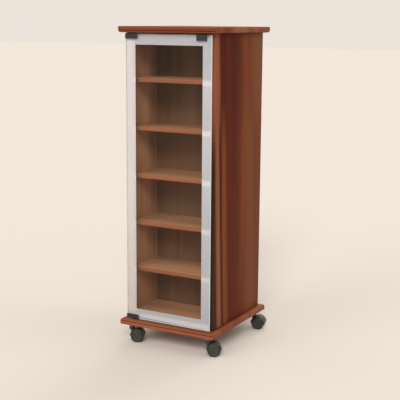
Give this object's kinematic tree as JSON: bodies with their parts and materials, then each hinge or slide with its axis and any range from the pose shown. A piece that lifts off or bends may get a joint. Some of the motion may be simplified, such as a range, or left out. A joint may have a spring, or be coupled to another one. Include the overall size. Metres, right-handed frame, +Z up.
{
  "type": "rotating media tower",
  "caption": "Tall narrow media tower on four castors: a wooden cabinet turns above its base board, with disc compartments behind a glass door and open bays at the back.",
  "frame": {"origin": "On the floor, below the middle of the tower, where the turntable's axis meets the floor.", "axes": "+Z up along the tower's height; the glass door faces -Y and its hinges are towards -X; the open bays face +Y."},
  "size_m": [0.3573, 0.363, 0.97],
  "materials": {
    "cherry_decor": "satin",
    "cherry_inner": "satin",
    "door_glass": "gloss",
    "black_clamp": "satin",
    "zinc_sheet": "satin",
    "bright_steel": "polished",
    "castor_plastic": "matte",
    "nylon": "matte"
  },
  "bodies": {
    "base": {"base_board": "cherry_decor", "turntable_lower_plate": "zinc_sheet", "castor_front_left_plate": "zinc_sheet", "castor_front_left_stem": "bright_steel", "castor_front_right_plate": "zinc_sheet", "castor_front_right_stem": "bright_steel", "castor_rear_left_plate": "zinc_sheet", "castor_rear_left_stem": "bright_steel", "castor_rear_right_plate": "zinc_sheet", "castor_rear_right_stem": "bright_steel"},
    "castor_front_left": {"castor_front_left_hood": "castor_plastic", "castor_front_left_axle": "bright_steel"},
    "castor_front_left_wheel_a": {"castor_front_left_wheel_a": "castor_plastic"},
    "castor_front_left_wheel_b": {"castor_front_left_wheel_b": "castor_plastic"},
    "castor_front_right": {"castor_front_right_hood": "castor_plastic", "castor_front_right_axle": "bright_steel"},
    "castor_front_right_wheel_a": {"castor_front_right_wheel_a": "castor_plastic"},
    "castor_front_right_wheel_b": {"castor_front_right_wheel_b": "castor_plastic"},
    "castor_rear_left": {"castor_rear_left_hood": "castor_plastic", "castor_rear_left_axle": "bright_steel"},
    "castor_rear_left_wheel_a": {"castor_rear_left_wheel_a": "castor_plastic"},
    "castor_rear_left_wheel_b": {"castor_rear_left_wheel_b": "castor_plastic"},
    "castor_rear_right": {"castor_rear_right_hood": "castor_plastic", "castor_rear_right_axle": "bright_steel"},
    "castor_rear_right_wheel_a": {"castor_rear_right_wheel_a": "castor_plastic"},
    "castor_rear_right_wheel_b": {"castor_rear_right_wheel_b": "castor_plastic"},
    "ball_cage": {"turntable_ball_cage": "nylon"},
    "cabinet": {"turntable_upper_plate": "zinc_sheet", "floor_panel": "cherry_inner", "side_panel_left": "cherry_decor", "side_panel_right": "cherry_decor", "centre_panel": "cherry_inner", "disc_shelf_1": "cherry_inner", "disc_shelf_2": "cherry_inner", "disc_shelf_3": "cherry_inner", "disc_shelf_4": "cherry_inner", "disc_shelf_5": "cherry_inner", "rear_shelf_1": "cherry_inner", "rear_shelf_2": "cherry_inner", "rear_shelf_3": "cherry_inner", "top_board": "cherry_decor", "top_pivot_bush": "nylon", "bottom_pivot_bracket": "zinc_sheet", "catch_housing": "castor_plastic"},
    "door": {"glass_door": "door_glass", "hinge_top_clamp": "black_clamp", "hinge_bottom_clamp": "black_clamp", "door_catch_clip": "black_clamp"},
    "catch_plunger": {"catch_plunger": "bright_steel"}
  },
  "joints": [
    {"name": "castor_front_left_swivel", "type": "hinge", "parent": "base", "child": "castor_front_left", "pos_m": [-0.135, -0.1545, 0.049], "axis": [0, 0, 1], "continuous": true},
    {"name": "castor_front_left_roll_a", "type": "hinge", "parent": "castor_front_left", "child": "castor_front_left_wheel_a", "pos_m": [-0.11959, -0.14732, 0.02], "axis": [-0.4226, 0.9063, 0], "continuous": true},
    {"name": "castor_front_left_roll_b", "type": "hinge", "parent": "castor_front_left", "child": "castor_front_left_wheel_b", "pos_m": [-0.11959, -0.14732, 0.02], "axis": [-0.4226, 0.9063, 0], "continuous": true},
    {"name": "castor_front_right_swivel", "type": "hinge", "parent": "base", "child": "castor_front_right", "pos_m": [0.135, -0.1545, 0.049], "axis": [0, 0, 1], "continuous": true},
    {"name": "castor_front_right_roll_a", "type": "hinge", "parent": "castor_front_right", "child": "castor_front_right_wheel_a", "pos_m": [0.14972, -0.146, 0.02], "axis": [-0.5, 0.866, 0], "continuous": true},
    {"name": "castor_front_right_roll_b", "type": "hinge", "parent": "castor_front_right", "child": "castor_front_right_wheel_b", "pos_m": [0.14972, -0.146, 0.02], "axis": [-0.5, 0.866, 0], "continuous": true},
    {"name": "castor_rear_left_swivel", "type": "hinge", "parent": "base", "child": "castor_rear_left", "pos_m": [-0.135, 0.1545, 0.049], "axis": [0, 0, 1], "continuous": true},
    {"name": "castor_rear_left_roll_a", "type": "hinge", "parent": "castor_rear_left", "child": "castor_rear_left_wheel_a", "pos_m": [-0.15097, 0.14869, 0.02], "axis": [0.342, -0.9397, 0], "continuous": true},
    {"name": "castor_rear_left_roll_b", "type": "hinge", "parent": "castor_rear_left", "child": "castor_rear_left_wheel_b", "pos_m": [-0.15097, 0.14869, 0.02], "axis": [0.342, -0.9397, 0], "continuous": true},
    {"name": "castor_rear_right_swivel", "type": "hinge", "parent": "base", "child": "castor_rear_right", "pos_m": [0.135, 0.1545, 0.049], "axis": [0, 0, 1], "continuous": true},
    {"name": "castor_rear_right_roll_a", "type": "hinge", "parent": "castor_rear_right", "child": "castor_rear_right_wheel_a", "pos_m": [0.15163, 0.15803, 0.02], "axis": [-0.2079, 0.9781, 0], "continuous": true},
    {"name": "castor_rear_right_roll_b", "type": "hinge", "parent": "castor_rear_right", "child": "castor_rear_right_wheel_b", "pos_m": [0.15163, 0.15803, 0.02], "axis": [-0.2079, 0.9781, 0], "continuous": true},
    {"name": "cabinet_turn", "type": "hinge", "parent": "base", "child": "cabinet", "pos_m": [0, 0, 0.077], "axis": [0, 0, 1], "continuous": true},
    {"name": "ball_cage_turn", "type": "hinge", "parent": "base", "child": "ball_cage", "pos_m": [0, 0, 0.077], "axis": [0, 0, 1], "continuous": true},
    {"name": "door_swing", "type": "hinge", "parent": "cabinet", "child": "door", "pos_m": [-0.1373, -0.165, 0.08], "axis": [0, 0, -1], "range_deg": [0, 105]},
    {"name": "catch_press", "type": "slide", "parent": "cabinet", "child": "catch_plunger", "axis": [0, 1, 0], "range_m": [0, 0.004], "stiffness_N_per_m": 500, "springref_m": -0.006}
  ],
  "couplings": [
    {"joint": "ball_cage_turn", "follows": "cabinet_turn", "ratio": 0.5}
  ]
}
